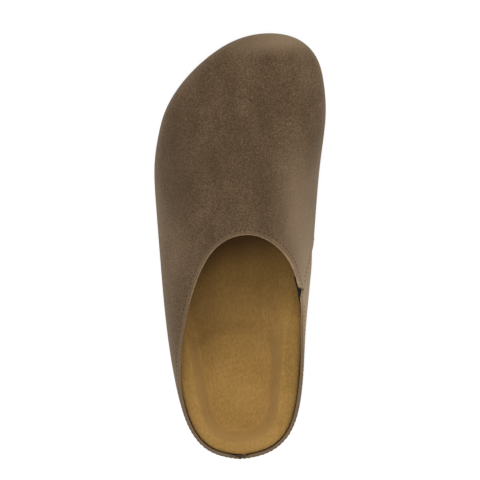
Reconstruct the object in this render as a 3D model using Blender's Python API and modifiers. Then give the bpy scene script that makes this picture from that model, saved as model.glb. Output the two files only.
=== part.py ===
"""Left-foot suede clog slipper: lugged sole, contoured footbed, one-piece upper.

Metres, +Z up. The shoe stands on the floor plane z = 0 with its heel towards +Y
and its toe towards -Y. Its outer (lateral) side is +X and its inner (medial) side -X.
A station is a distance forward from the back of the heel, and a side is a distance
from the shoe's long axis, positive on the lateral side.
"""
import math

import bmesh
import bpy
import numpy as np

# Driving sizes
SHOE_LENGTH = 0.268
BALL_WIDTH = 0.105
INSTEP_HEIGHT = 0.080
SOLE_THICKNESS = 0.0124
TOE_SOLE_THICKNESS = 0.0105
TOE_SPRING = 0.010
UPPER_WALL = 0.002
CLEARANCE = 0.0003

# Lasting: how far the upper is tucked in over the sole, and its hidden margin
TUCK = 0.0032
SOLE_LEDGE = 0.0005
FEATHER_RADIUS = 0.0012
MARGIN_WIDTH = 0.012

# Lugs across the sole
LUG_PITCH = 0.0145
LUG_DEPTH = 0.0018
LUG_SLOPE = 0.0050
LUG_CORNER = 0.0018
HEEL_LUG = 0.0115
SOLE_EDGE_RADIUS = 0.0010

# Footbed
FOOTBED_HEIGHT = 0.026
RIM_WIDTH = 0.0105
RIM_ROUNDING = 0.0010
RIM_ROUNDING_WIDTH = 0.0030
CUP_SLOPE = 0.0065
ARCH_SLOPE = 0.0240

# Elastic gore behind a notch in the inner side of the collar
GORE_LENGTH = 0.023
GORE_DROP = 0.016
GORE_INSET = 0.0010
GORE_THICKNESS = 0.0012
NOTCH_WIDTH = 0.0094
NOTCH_DEPTH = 0.0052

# Places along the shoe, as shares of SHOE_LENGTH from the back of the heel
HEEL_CENTRE = 0.15
FAN_CENTRE = 0.375
TOE_CENTRE = 0.815
SPRING_START = 0.69
NOTCH_PLACE = 0.385

# The widest outline of the upper, seen from above.
# station: share of SHOE_LENGTH; lateral, medial: shares of BALL_WIDTH;
# level: height of the widest line over the sole, as a share of INSTEP_HEIGHT;
# tuck: how far the lower edge is drawn in there, as a share of TUCK
PLAN_COLUMNS = ("station", "lateral", "medial", "level", "tuck")
PLAN = (
    (0.020, 0.190, 0.210, 0.170, 0.80),
    (0.058, 0.280, 0.307, 0.170, 0.80),
    (0.115, 0.342, 0.362, 0.170, 0.90),
    (0.190, 0.388, 0.387, 0.175, 1.00),
    (0.300, 0.432, 0.403, 0.180, 1.00),
    (0.450, 0.469, 0.438, 0.185, 1.00),
    (0.600, 0.499, 0.468, 0.190, 1.00),
    (0.700, 0.506, 0.492, 0.200, 1.00),
    (0.760, 0.484, 0.512, 0.215, 1.05),
    (0.810, 0.450, 0.523, 0.235, 1.10),
    (0.886, 0.336, 0.510, 0.230, 1.25),
    (0.942, 0.192, 0.469, 0.225, 1.35),
    (0.981, 0.036, 0.378, 0.220, 1.40),
)
HEEL_TIP = (0.000, -0.015, 0.170, 0.80)
TOE_TIP = (1.000, -0.190, 0.219, 1.40)

# The top line of the collar: station, lateral side, medial side, and height over the
# sole as a share of INSTEP_HEIGHT
COLLAR = (
    (0.022, 0.187, 0.208, 0.334),
    (0.059, 0.276, 0.303, 0.319),
    (0.116, 0.336, 0.356, 0.344),
    (0.164, 0.359, 0.375, 0.385),
    (0.213, 0.360, 0.386, 0.442),
    (0.254, 0.354, 0.388, 0.495),
    (0.297, 0.337, 0.387, 0.551),
    (0.370, 0.296, 0.383, 0.645),
    (0.437, 0.236, 0.342, 0.770),
    (0.473, 0.188, 0.294, 0.880),
    (0.498, 0.133, 0.233, 0.940),
)
COLLAR_HEEL = (0.0041, -0.015, 0.364)
THROAT = (0.527, -0.057, 0.990)

# The ridge of the vamp. height: over the sole, as a share of INSTEP_HEIGHT;
# flank, shoulder: exponents of the curve from ridge to outline, higher is squarer
VAMP_COLUMNS = ("station", "height", "flank", "shoulder")
VAMP = (
    (0.000, 1.000, 2.4, 2.4),
    (0.400, 1.000, 2.4, 2.4),
    (0.527, 0.995, 2.3, 2.3),
    (0.585, 0.910, 2.4, 2.3),
    (0.670, 0.797, 2.5, 2.3),
    (0.757, 0.669, 2.8, 2.4),
    (0.802, 0.602, 3.1, 2.5),
    (0.843, 0.553, 3.5, 2.6),
    (0.903, 0.511, 4.0, 2.7),
    (1.000, 0.450, 4.4, 2.8),
)

# The middle line of the last. side: share of BALL_WIDTH
SPINE_COLUMNS = ("station", "side")
SPINE = (
    (0.000, -0.015),
    (0.150, -0.015),
    (0.375, -0.035),
    (0.527, -0.057),
    (0.815, -0.060),
    (1.000, -0.060),
)

# The top of the footbed, over the sole, as shares of FOOTBED_HEIGHT.
# floor: along its middle; lateral_rim, medial_rim: its raised edges;
# lateral_crest, medial_crest: how wide they are, as shares of RIM_WIDTH;
# arch: how far the medial slope is drawn out, from 0 to 1
FOOTBED_COLUMNS = (
    "station", "floor", "lateral_rim", "medial_rim", "lateral_crest", "medial_crest", "arch"
)
FOOTBED = (
    (0.000, 0.40, 0.97, 0.97, 0.58, 0.58, 0.0),
    (0.060, 0.39, 0.88, 0.90, 0.66, 0.80, 0.0),
    (0.150, 0.38, 0.86, 0.92, 0.84, 1.06, 0.0),
    (0.220, 0.38, 0.85, 0.99, 0.86, 1.12, 0.0),
    (0.272, 0.39, 0.83, 1.05, 0.80, 1.06, 0.2),
    (0.343, 0.50, 0.75, 1.10, 0.66, 0.78, 0.8),
    (0.400, 0.53, 0.69, 1.06, 0.58, 0.64, 1.0),
    (0.460, 0.50, 0.63, 0.96, 0.56, 0.60, 1.0),
    (0.580, 0.40, 0.54, 0.70, 0.56, 0.60, 0.7),
    (0.700, 0.32, 0.46, 0.50, 0.56, 0.60, 0.2),
    (0.850, 0.34, 0.44, 0.46, 0.56, 0.56, 0.0),
    (1.000, 0.32, 0.44, 0.44, 0.56, 0.56, 0.0),
)

# How finely the curved pieces are cut up
CURVE_STEPS = 720
SIDE_RAYS = 8
TOE_RAYS = 42
HEEL_RAYS = 16
VAMP_STEPS = 11
WALL_STEPS = 3
FOOTBED_SIDE_STEPS = 3
FLOOR_STEPS = 4
SOLE_END_STEPS = 7
SOLE_END_INSET = 0.00035
GORE_COLUMNS = 7
GORE_ROWS = 5


def column(table, names, name, place):
    """Smooth value of a table's column at a place, by a cubic through its rows."""
    index = names.index(name)
    places = [row[0] for row in table]
    values = [row[index] for row in table]
    if place <= places[0]:
        return values[0]
    if place >= places[-1]:
        return values[-1]
    right = next(i for i, p in enumerate(places) if p > place)
    left = right - 1
    span = places[right] - places[left]
    share = (place - places[left]) / span
    slopes = []
    for i in (left, right):
        before = max(i - 1, 0)
        after = min(i + 1, len(table) - 1)
        slopes.append((values[after] - values[before]) / (places[after] - places[before]))
    rise = values[right] - values[left]
    bend_in = slopes[0] * span - rise
    bend_out = rise - slopes[1] * span
    bend = bend_in * (1 - share) + bend_out * share
    return values[left] + share * rise + share * (1 - share) * bend


def closed_curve(points, steps=CURVE_STEPS):
    """Smooth closed curve through the points: a periodic cubic spline."""
    points = np.array(points, dtype=float)
    gaps = np.linalg.norm(np.roll(points, -1, axis=0)[:, :2] - points[:, :2], axis=1)
    total = len(points)
    system = np.zeros((total, total))
    pull = np.zeros_like(points)
    for i in range(total):
        before = (i - 1) % total
        after = (i + 1) % total
        system[i, before] += gaps[before]
        system[i, i] += 2 * (gaps[before] + gaps[i])
        system[i, after] += gaps[i]
        ahead = (points[after] - points[i]) / gaps[i]
        behind = (points[i] - points[before]) / gaps[before]
        pull[i] = 6 * (ahead - behind)
    bends = np.linalg.solve(system, pull)
    starts = np.concatenate(([0.0], np.cumsum(gaps)))
    curve = []
    for travelled in np.linspace(0, starts[-1], steps, endpoint=False):
        i = int(np.searchsorted(starts, travelled, side="right")) - 1
        after = (i + 1) % total
        gap = gaps[i]
        b = (travelled - starts[i]) / gap
        a = 1 - b
        lift = (a ** 3 - a) * bends[i] + (b ** 3 - b) * bends[after]
        curve.append(a * points[i] + b * points[after] + lift * gap * gap / 6)
    return np.array(curve)


def cross(a, b):
    """Area of the level parallelogram of two directions."""
    return a[..., 0] * b[..., 1] - a[..., 1] * b[..., 0]


def crossing(loop, start, heading):
    """Where a level ray leaves a closed loop: the loop's values at that point."""
    after = np.roll(loop, -1, axis=0)
    edges = after[:, :2] - loop[:, :2]
    away = loop[:, :2] - start
    spread = cross(np.broadcast_to(heading, edges.shape), edges)
    spread = np.where(np.abs(spread) < 1e-12, 1e-12, spread)
    share = cross(away, np.broadcast_to(heading, away.shape)) / spread
    reach = cross(away, edges) / spread
    hits = np.where((share >= -1e-9) & (share <= 1 + 1e-9) & (reach > 0))[0]
    i = hits[np.argmax(reach[hits])]
    return loop[i] + share[i] * (after[i] - loop[i])


def outline_points():
    """Rows of PLAN as points round the shoe: side, station, level, tuck."""
    def point(station, side, level, tuck):
        return (side * BALL_WIDTH, station * SHOE_LENGTH, level * INSTEP_HEIGHT, tuck * TUCK)
    lateral = [point(s, wide, level, tuck) for s, wide, _, level, tuck in PLAN]
    medial = [point(s, -wide, level, tuck) for s, _, wide, level, tuck in reversed(PLAN)]
    return [point(*HEEL_TIP)] + lateral + [point(*TOE_TIP)] + medial


def collar_points():
    """Rows of COLLAR as points round the opening: side, station, height."""
    def point(station, side, height):
        return (side * BALL_WIDTH, station * SHOE_LENGTH, height * INSTEP_HEIGHT)
    lateral = [point(s, wide, height) for s, wide, _, height in COLLAR]
    medial = [point(s, -wide, height) for s, _, wide, height in reversed(COLLAR)]
    return [point(*COLLAR_HEEL)] + lateral + [point(*THROAT)] + medial


OUTLINE = closed_curve(outline_points())
COLLAR_LINE = closed_curve(collar_points())
AXIS_SHIFT = (OUTLINE[:, 0].max() + OUTLINE[:, 0].min()) / 2


def place(side, station, height):
    """A point of the shoe in the part's own frame, centred over the floor."""
    return (side - AXIS_SHIFT, SHOE_LENGTH / 2 - station, height)


def spring(station):
    """Height of the sole's underside over the floor: flat, then up to the toe."""
    start = SPRING_START * SHOE_LENGTH
    end = SHOE_LENGTH - TUCK
    share = min(max((station - start) / (end - start), 0.0), 1.0)
    return TOE_SPRING * share ** 2


def seat(station):
    """Height of the sole's upper face, which carries the upper and the footbed."""
    start = SPRING_START * SHOE_LENGTH
    share = min(max((station - start) / (SHOE_LENGTH - start), 0.0), 1.0)
    return spring(station) + SOLE_THICKNESS + (TOE_SOLE_THICKNESS - SOLE_THICKNESS) * share


def spine_side(station):
    return BALL_WIDTH * column(SPINE, SPINE_COLUMNS, "side", station / SHOE_LENGTH)


def ray_through(side, station):
    """The level ray, from the middle of the foot, that passes a point of the plan."""
    near = HEEL_CENTRE * SHOE_LENGTH
    far = FAN_CENTRE * SHOE_LENGTH
    root = min(max(station, near), far)
    start = np.array((spine_side(root), root))
    if near <= station <= far:
        heading = np.array((math.copysign(1.0, side - start[0]), 0.0))
    else:
        heading = np.array((side, station)) - start
        heading /= np.linalg.norm(heading)
    return start, heading


def stretch(first, last, count):
    """Evenly spaced points along OUTLINE between two of its points, ends included."""
    def nearest(point):
        return int(np.argmin(np.linalg.norm(OUTLINE[:, :2] - point[:2], axis=1)))
    begin = nearest(first)
    steps = (nearest(last) - begin) % len(OUTLINE)
    run = np.array([OUTLINE[(begin + i) % len(OUTLINE)] for i in range(steps + 1)])
    lengths = np.linalg.norm(np.diff(run[:, :2], axis=0), axis=1)
    along = np.concatenate(([0.0], np.cumsum(lengths)))
    wanted = np.linspace(0, along[-1], count + 1)
    return [np.array([np.interp(w, along, run[:, k]) for k in (0, 1)]) for w in wanted]


def all_rays():
    """Rays round the shoe: lateral side, toe fan, medial side, heel fan."""
    near = HEEL_CENTRE * SHOE_LENGTH
    far = FAN_CENTRE * SHOE_LENGTH
    stations = [near + (far - near) * i / SIDE_RAYS for i in range(SIDE_RAYS + 1)]
    edge = BALL_WIDTH
    lateral = [ray_through(edge, s) for s in stations]
    medial = [ray_through(-edge, s) for s in reversed(stations)]
    toe_ends = crossing(OUTLINE, *lateral[-1]), crossing(OUTLINE, *medial[0])
    heel_ends = crossing(OUTLINE, *medial[-1]), crossing(OUTLINE, *lateral[0])
    toe = [ray_through(*p) for p in stretch(*toe_ends, TOE_RAYS)[1:-1]]
    heel = [ray_through(*p) for p in stretch(*heel_ends, HEEL_RAYS)[1:-1]]
    return lateral + toe + medial + heel


def ridge_share(side, station):
    """0 over the middle line of the last and 1 at its widest outline."""
    root = min(station, TOE_CENTRE * SHOE_LENGTH)
    start = np.array((spine_side(root), root))
    away = np.array((side, station)) - start
    distance = np.linalg.norm(away)
    if distance < 1e-6:
        return 0.0
    edge = crossing(OUTLINE, start, away / distance)
    return min(distance / np.linalg.norm(edge[:2] - start), 1.0)


def flank_share(side, station):
    """Share of the full rise that the last keeps at a point of the plan."""
    where = station / SHOE_LENGTH
    flank = column(VAMP, VAMP_COLUMNS, "flank", where)
    shoulder = column(VAMP, VAMP_COLUMNS, "shoulder", where)
    return (1 - ridge_share(side, station) ** flank) ** (1 / shoulder)


def widest_level(station):
    level = column(PLAN, PLAN_COLUMNS, "level", station / SHOE_LENGTH)
    return level * INSTEP_HEIGHT


def ridge_height(station):
    return INSTEP_HEIGHT * column(VAMP, VAMP_COLUMNS, "height", station / SHOE_LENGTH)


def outline_normal(point):
    """Level direction out of the outline at one of its points."""
    i = int(np.argmin(np.linalg.norm(OUTLINE[:, :2] - point[:2], axis=1)))
    along = OUTLINE[(i + 3) % len(OUTLINE)] - OUTLINE[(i - 3) % len(OUTLINE)]
    normal = np.array((along[1], -along[0]))
    return normal / np.linalg.norm(normal)


def upper_line(start, heading):
    """Outer surface of the upper along one ray, from the hidden margin to the collar."""
    edge = crossing(OUTLINE, start, heading)
    top = crossing(COLLAR_LINE, start, heading)
    out = outline_normal(edge)
    level, tuck = edge[2], edge[3] + SOLE_LEDGE
    points = []

    def below(inset, lift):
        side, station = edge[:2] - out * inset
        points.append((side, station, seat(station) + CLEARANCE + lift))

    below(tuck + MARGIN_WIDTH, 0.0)
    below(tuck + MARGIN_WIDTH / 2, 0.0)
    below(tuck + FEATHER_RADIUS, 0.0)
    for i in range(WALL_STEPS):
        lift = FEATHER_RADIUS / 2 + (level - FEATHER_RADIUS / 2) * i / WALL_STEPS
        below(tuck * (1 - lift / level) ** 2, lift)
    below(0.0, level)

    def rise(point):
        station = point[1]
        return ridge_height(station) - widest_level(station)

    full = (top[2] - widest_level(top[1])) / flank_share(*top[:2])
    sag = full - rise(top)
    for i in range(1, VAMP_STEPS + 1):
        share = (i / VAMP_STEPS) ** 2
        point = edge[:2] + (top[:2] - edge[:2]) * share
        height = widest_level(point[1]) + (rise(point) + sag) * flank_share(*point)
        points.append((point[0], point[1], seat(point[1]) + CLEARANCE + height))
    return points


def grid_normals(grid):
    """Unit directions out of a surface given as lines of points round the shoe."""
    ahead = np.roll(grid, -1, axis=0) - np.roll(grid, 1, axis=0)
    up = np.empty_like(grid)
    up[:, 1:-1] = grid[:, 2:] - grid[:, :-2]
    up[:, 0] = grid[:, 1] - grid[:, 0]
    up[:, -1] = grid[:, -1] - grid[:, -2]
    normals = np.cross(ahead, up)
    return normals / np.linalg.norm(normals, axis=2, keepdims=True)


def at_height(line, height):
    """Point where a rising line of points passes a height."""
    for low, high in zip(line, line[1:]):
        if low[2] <= height <= high[2]:
            share = (height - low[2]) / max(high[2] - low[2], 1e-9)
            return low + (high - low) * share
    return line[-1]


def material(name, colour, roughness):
    made = bpy.data.materials.new(name)
    made.use_nodes = True
    shader = made.node_tree.nodes["Principled BSDF"]
    shader.inputs["Base Color"].default_value = (*colour, 1.0)
    shader.inputs["Roughness"].default_value = roughness
    shader.inputs["Metallic"].default_value = 0.0
    return made


def add_object(name, vertices, faces, collection, look=None):
    """New object from points of the shoe (side, station, height)."""
    mesh = bpy.data.meshes.new(name)
    mesh.from_pydata([place(*v) for v in vertices], [], faces)
    body = bmesh.new()
    body.from_mesh(mesh)
    bmesh.ops.remove_doubles(body, verts=body.verts, dist=1e-6)
    bmesh.ops.recalc_face_normals(body, faces=body.faces)
    body.to_mesh(mesh)
    body.free()
    mesh.shade_smooth()
    mesh.set_sharp_from_angle(angle=math.radians(50))
    thing = bpy.data.objects.new(name, mesh)
    if look:
        mesh.materials.append(look)
    collection.objects.link(thing)
    return thing


def grid_faces(rows, columns, close_rows=True, close_columns=False):
    """Quads between the lines of a grid; they face outwards once placed."""
    faces = []
    for i in range(rows if close_rows else rows - 1):
        for j in range(columns if close_columns else columns - 1):
            a = i * columns + j
            b = ((i + 1) % rows) * columns + j
            c = ((i + 1) % rows) * columns + (j + 1) % columns
            d = i * columns + (j + 1) % columns
            faces.append((a, d, c, b))
    return faces


def make_upper(grid, collection, cutters):
    """The suede shell: one wall from the margin under the footbed up to the collar."""
    rows, columns = grid.shape[:2]
    mesh = bpy.data.meshes.new("upper")
    mesh.from_pydata([place(*p) for p in grid.reshape(-1, 3)], [], grid_faces(rows, columns))
    mesh.shade_smooth()
    mesh.materials.append(material("taupe suede", (0.13, 0.085, 0.05), 0.95))
    upper = bpy.data.objects.new("upper", mesh)
    collection.objects.link(upper)
    wall = upper.modifiers.new("wall", "SOLIDIFY")
    wall.thickness = UPPER_WALL
    wall.offset = -1.0
    wall.use_even_offset = True
    cut = upper.modifiers.new("gore notch", "BOOLEAN")
    cut.operation = "DIFFERENCE"
    cut.solver = "EXACT"
    cut.object = make_notch(cutters)
    return upper


def inner_collar(station):
    """Point of the collar on the inner side of the foot at a station."""
    middle = np.array((spine_side(station), station))
    return crossing(COLLAR_LINE, middle, np.array((-1.0, 0.0)))


def make_notch(cutters):
    """Wedge that opens the inner side of the collar in front of the elastic."""
    middle = NOTCH_PLACE * SHOE_LENGTH
    side, _, height = inner_collar(middle)
    brim = seat(middle) + height
    corners = (
        (middle - NOTCH_WIDTH, brim + NOTCH_DEPTH),
        (middle + NOTCH_WIDTH, brim + NOTCH_DEPTH),
        (middle + NOTCH_WIDTH / 4, brim - NOTCH_DEPTH),
    )
    reach = NOTCH_DEPTH + UPPER_WALL
    ends = (side + reach, side - reach)
    vertices = [(end, station, level) for end in ends for station, level in corners]
    faces = [(0, 1, 2), (3, 5, 4), (0, 3, 4, 1), (1, 4, 5, 2), (2, 5, 3, 0)]
    cutter = add_object("gore_notch_cutter", vertices, faces, cutters)
    cutter.hide_render = True
    cutter.display_type = "WIRE"
    return cutter


def make_gore(collection):
    """The elastic patch inside the notch, just off the upper's inner face."""
    middle = NOTCH_PLACE * SHOE_LENGTH
    lines = []
    for i in range(-1, GORE_COLUMNS + 1):
        station = middle + GORE_LENGTH * (i / (GORE_COLUMNS - 1) - 0.5)
        side = inner_collar(station)[0]
        lines.append(upper_line(*ray_through(side, station)))
    grid = np.array(lines)
    normals = strip_normals(grid)
    near = UPPER_WALL + CLEARANCE
    sheets = []
    for depth in (near, near + GORE_THICKNESS):
        inner = grid - normals * depth
        sheet = []
        for line, outer in zip(inner[1:-1], grid[1:-1]):
            crest = outer[-1][2] - GORE_INSET
            heights = [crest - GORE_DROP * j / (GORE_ROWS - 1) for j in range(GORE_ROWS)]
            sheet.append([at_height(line, height) for height in heights])
        sheets.append(np.array(sheet))
    outside, inside = sheets
    loops = np.concatenate((outside, inside[:, ::-1]), axis=1)
    count = loops.shape[1]
    faces = grid_faces(GORE_COLUMNS, count, close_rows=False, close_columns=True)
    last = (GORE_COLUMNS - 1) * count
    faces.append(tuple(range(count)))
    faces.append(tuple(last + j for j in reversed(range(count))))
    look = material("elastic", (0.015, 0.016, 0.012), 0.9)
    return add_object("gore", loops.reshape(-1, 3), faces, collection, look)


def strip_normals(grid):
    """Unit directions out of the inner side, for a strip of lines that stays open."""
    normals = np.cross(np.gradient(grid, axis=0), np.gradient(grid, axis=1))
    normals /= np.linalg.norm(normals, axis=2, keepdims=True)
    return normals * -np.sign(normals[0, -1, 0])


def footbed_height(side, station, depth):
    """Top of the footbed over the sole, at a depth in from its edge."""
    rim, floor, crest, slope = footbed_section(side, station)
    share = min(max((depth - crest) / slope, 0.0), 1.0)
    fall = share * share * (3 - 2 * share)
    edge = max(1 - depth / RIM_ROUNDING_WIDTH, 0.0)
    return FOOTBED_HEIGHT * (rim + (floor - rim) * fall) - RIM_ROUNDING * edge ** 2


def footbed_section(side, station):
    """Heights of the rim and floor there, and widths of the crest and of its slope."""
    where = station / SHOE_LENGTH
    across = (side - spine_side(station)) / (BALL_WIDTH * 0.3)
    blend = 0.5 - 0.5 * math.sin(math.pi / 2 * min(max(across, -1.0), 1.0))

    def value(name):
        return column(FOOTBED, FOOTBED_COLUMNS, name, where)

    rim = value("lateral_rim") * (1 - blend) + value("medial_rim") * blend
    crest = value("lateral_crest") * (1 - blend) + value("medial_crest") * blend
    slope = CUP_SLOPE + (ARCH_SLOPE - CUP_SLOPE) * value("arch") * blend
    return rim, value("floor"), crest * RIM_WIDTH, slope


def footbed_side(inner_line):
    """The footbed's side along one ray: up the inner face of the upper to the rim."""
    rising = inner_line[3:]
    foot = at_height(rising, seat(inner_line[4][1]) + UPPER_WALL + 3 * CLEARANCE)
    top = seat(foot[1]) + footbed_height(foot[0], foot[1], 0.0)
    shares = [i / FOOTBED_SIDE_STEPS for i in range(FOOTBED_SIDE_STEPS + 1)]
    return [at_height(rising, foot[2] + (top - foot[2]) * share) for share in shares]


def footbed_crown(edge, start, heading):
    """Points in from the footbed's edge to its middle, closest where its slope is."""
    length = np.linalg.norm(edge[:2] - start)
    facing = abs(float(np.dot(heading, outline_normal(edge))))
    _, _, crest, slope = footbed_section(*edge[:2])
    depths = [RIM_ROUNDING_WIDTH / 2, RIM_ROUNDING_WIDTH, crest]
    depths += [crest + slope * share for share in (0.25, 0.5, 0.75, 1.0)]
    runs = [min(depth / facing, length * 0.9) for depth in depths]
    last = runs[-1]
    runs += [last + (length - last) * i / FLOOR_STEPS for i in range(1, FLOOR_STEPS + 1)]
    return [edge[:2] + (start - edge[:2]) * run / length for run in runs]


def footbed_underside(margin, start):
    """The footbed's underside along one ray: the sole, then the step over the margin."""
    inward = start - margin[:2]
    lip = margin[:2] + inward / np.linalg.norm(inward) * 2 * CLEARANCE
    line = []
    for i in range(FLOOR_STEPS + 1):
        side, station = start + (lip - start) * i / FLOOR_STEPS
        line.append((side, station, seat(station) + CLEARANCE))
    line.append((lip[0], lip[1], seat(lip[1]) + UPPER_WALL + 3 * CLEARANCE))
    return line


def make_footbed(rays, grid, collection):
    """The contoured footbed: its side follows the upper's inner face."""
    inner = grid - grid_normals(grid) * (UPPER_WALL + 2 * CLEARANCE)
    sides = [footbed_side(line) for line in inner]
    rim = np.array([side[-1][:2] for side in sides])
    ahead = np.roll(rim, -1, axis=0)
    rim = np.concatenate([rim + (ahead - rim) * i / 8 for i in range(8)])
    lines = []
    for upper, side, (start, heading) in zip(grid, sides, rays):
        line = footbed_underside(upper[0], start)
        line.extend(tuple(point) for point in side)
        for point in footbed_crown(side[-1], start, heading):
            depth = np.min(np.linalg.norm(rim - point, axis=1))
            height = seat(point[1]) + footbed_height(point[0], point[1], depth)
            line.append((point[0], point[1], height))
        lines.append(line)
    lines = np.array(lines)
    rows, columns = lines.shape[:2]
    look = material("footbed suede", (0.33, 0.2, 0.075), 0.9)
    points = lines.reshape(-1, 3)
    return add_object("footbed", points, grid_faces(rows, columns), collection, look)


def lug_profile(first, last):
    """Stations and groove depths along the sole's underside, heel to toe."""
    rows = [(first, 0.0)]
    notch = first + HEEL_LUG
    while notch < last - LUG_PITCH / 2:
        rows.append((notch - LUG_CORNER, 0.0))
        rows.append((notch - LUG_CORNER / 3, LUG_DEPTH / 4))
        rows.append((notch, LUG_DEPTH))
        rows.append((notch + LUG_SLOPE, 0.0))
        notch += LUG_PITCH
    rows.append((last, 0.0))
    return rows


def sole_outline():
    """The sole's outline seen from above: the upper's widest line, tucked in."""
    out = np.array([outline_normal(point) for point in OUTLINE])
    return OUTLINE[:, :2] - out * OUTLINE[:, 3:4]


def make_outsole(collection):
    """The lugged sole: sections across it, lofted from heel to toe."""
    loop = sole_outline()
    heel = loop[np.argmin(loop[:, 1])]
    toe = loop[np.argmax(loop[:, 1])]
    lugs = lug_profile(heel[1], toe[1])
    stations = [station for station, _ in lugs[1:-1]]
    for step in range(SOLE_END_STEPS):
        inset = SOLE_END_INSET * (step + 0.7) ** 2
        for station in (heel[1] + inset, toe[1] - inset):
            if min(abs(station - other) for other in stations) > SOLE_END_INSET:
                stations.append(station)
    sections = []
    for station in sorted(stations):
        groove = np.interp(station, [row[0] for row in lugs], [row[1] for row in lugs])
        middle = np.interp(station, (heel[1], toe[1]), (heel[0], toe[0]))
        start = np.array((middle, station))
        lateral = crossing(loop, start, np.array((1.0, 0.0)))[0]
        medial = crossing(loop, start, np.array((-1.0, 0.0)))[0]
        under = spring(station) + groove
        edge = min(SOLE_EDGE_RADIUS, (lateral - medial) / 4)
        bevel = edge * 0.3
        sections.append([
            (medial + edge, station, under),
            (lateral - edge, station, under),
            (lateral - bevel, station, under + bevel),
            (lateral, station, under + edge),
            (lateral, station, seat(station)),
            (medial, station, seat(station)),
            (medial, station, under + edge),
            (medial + bevel, station, under + bevel),
        ])
    sections = np.array(sections)
    count = sections.shape[1]
    faces = grid_faces(len(sections), count, close_rows=False, close_columns=True)
    last = (len(sections) - 1) * count
    faces.append(tuple(range(count)))
    faces.append(tuple(last + j for j in reversed(range(count))))
    look = material("sole rubber", (0.035, 0.018, 0.018), 0.7)
    return add_object("outsole", sections.reshape(-1, 3), faces, collection, look)


def main():
    for old in list(bpy.data.objects):
        bpy.data.objects.remove(old, do_unlink=True)
    parts = bpy.data.collections.new("clog slipper")
    cutters = bpy.data.collections.new("cutters")
    bpy.context.scene.collection.children.link(parts)
    bpy.context.scene.collection.children.link(cutters)
    rays = all_rays()
    grid = np.array([upper_line(start, heading) for start, heading in rays])
    make_outsole(parts)
    make_footbed(rays, grid, parts)
    make_upper(grid, parts, cutters)
    make_gore(parts)


main()
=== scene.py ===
"""The left-foot suede clog slipper with its finished look, standing on a pale floor."""

import math

import bmesh
import bpy
import numpy as np
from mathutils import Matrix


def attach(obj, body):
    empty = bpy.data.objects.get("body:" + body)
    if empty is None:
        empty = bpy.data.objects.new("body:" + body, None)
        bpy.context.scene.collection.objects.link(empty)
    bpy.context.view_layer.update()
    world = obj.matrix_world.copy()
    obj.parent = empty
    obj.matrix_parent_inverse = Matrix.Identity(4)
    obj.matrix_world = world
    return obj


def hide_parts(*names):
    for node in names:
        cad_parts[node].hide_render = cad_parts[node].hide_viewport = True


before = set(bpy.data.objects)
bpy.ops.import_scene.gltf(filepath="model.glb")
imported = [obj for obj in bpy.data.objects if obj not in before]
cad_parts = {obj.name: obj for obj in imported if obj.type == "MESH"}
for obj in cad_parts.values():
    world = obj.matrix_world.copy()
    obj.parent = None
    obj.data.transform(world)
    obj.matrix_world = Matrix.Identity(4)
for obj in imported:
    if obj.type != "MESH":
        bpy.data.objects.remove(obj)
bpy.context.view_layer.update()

# Driving sizes, the same as in the CAD parts
SHOE_LENGTH = 0.268
BALL_WIDTH = 0.105
INSTEP_HEIGHT = 0.080
SOLE_THICKNESS = 0.0124
TOE_SOLE_THICKNESS = 0.0105
TOE_SPRING = 0.010
UPPER_WALL = 0.002
CLEARANCE = 0.0003
TUCK = 0.0032
SOLE_LEDGE = 0.0005
FEATHER_RADIUS = 0.0012
MARGIN_WIDTH = 0.012
LUG_PITCH = 0.0145
LUG_DEPTH = 0.0018
LUG_SLOPE = 0.0050
LUG_CORNER = 0.0018
HEEL_LUG = 0.0115
SOLE_EDGE_RADIUS = 0.0010
FOOTBED_HEIGHT = 0.026
RIM_WIDTH = 0.0105
RIM_ROUNDING = 0.0010
RIM_ROUNDING_WIDTH = 0.0030
CUP_SLOPE = 0.0065
ARCH_SLOPE = 0.0240
GORE_LENGTH = 0.023
GORE_DROP = 0.016
GORE_INSET = 0.0010
GORE_THICKNESS = 0.0012
NOTCH_WIDTH = 0.0094
NOTCH_DEPTH = 0.0052
# Places along the length, as shares of it
HEEL_CENTRE = 0.15
FAN_CENTRE = 0.375
TOE_CENTRE = 0.815
SPRING_START = 0.69
NOTCH_PLACE = 0.385

# Sizes of the finish, in metres; places along the shoe are measured from its heel
CUT_EDGE_RADIUS = 0.0005
STITCH_INSET = 0.0029
STITCH_PITCH = 0.0030
STITCH_LENGTH = 0.0021
STITCH_SWAY = 0.12
STITCH_SEED = 7
THREAD_RADIUS = 0.00024
SEAM_STITCH_INSET = 0.0021
SEAM_STITCH_ENDS = (0.005, 0.003)
NOTCH_STITCH_GAP = 0.0020
OVERLAP_EDGE = 0.0003
OVERLAP_STEP = 0.0007
OVERLAP_FADE = (0.002, 0.016)
HEEL_GROOVE = 0.0011
HEEL_GROOVE_WIDTH = 0.0007
HEEL_DIP = 0.0007
HEEL_DIP_REACH = 0.004
HEEL_SEAM_SIDE = -0.0022
HEEL_STITCH_GAP = 0.0012
HEEL_END = 0.02
RIB_PITCH = 0.0011
RIB_DEPTH = 0.00016
SEAM_FOOT = 0.139
SEAM_PART = (0.05, 0.16)
SEAM_TOP_FADE = (0.004, 0.009)
INNER_PART = -0.02
REAR_PART = (0.070, 0.125)
GORE_TAIL = (0.001, 0.009)
GORE_TAIL_DROP = 0.0035
GORE_TOP_SHARE = 0.5
ARC_STATION = 0.0825
ARC_WIDTH = 0.0040
COVER_SPREAD = 0.0012

# Painted shade on the footbed, growing towards the shade of the vamp: stations in metres,
# shares
VAMP_SHADE_STATIONS = (0.048, 0.060, 0.070, 0.076, 0.082, 0.096, 0.118, 0.136, 0.160)
VAMP_SHADE_SHARES = (0.00, 0.05, 0.14, 0.22, 0.34, 0.42, 0.54, 0.98, 1.00)

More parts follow.
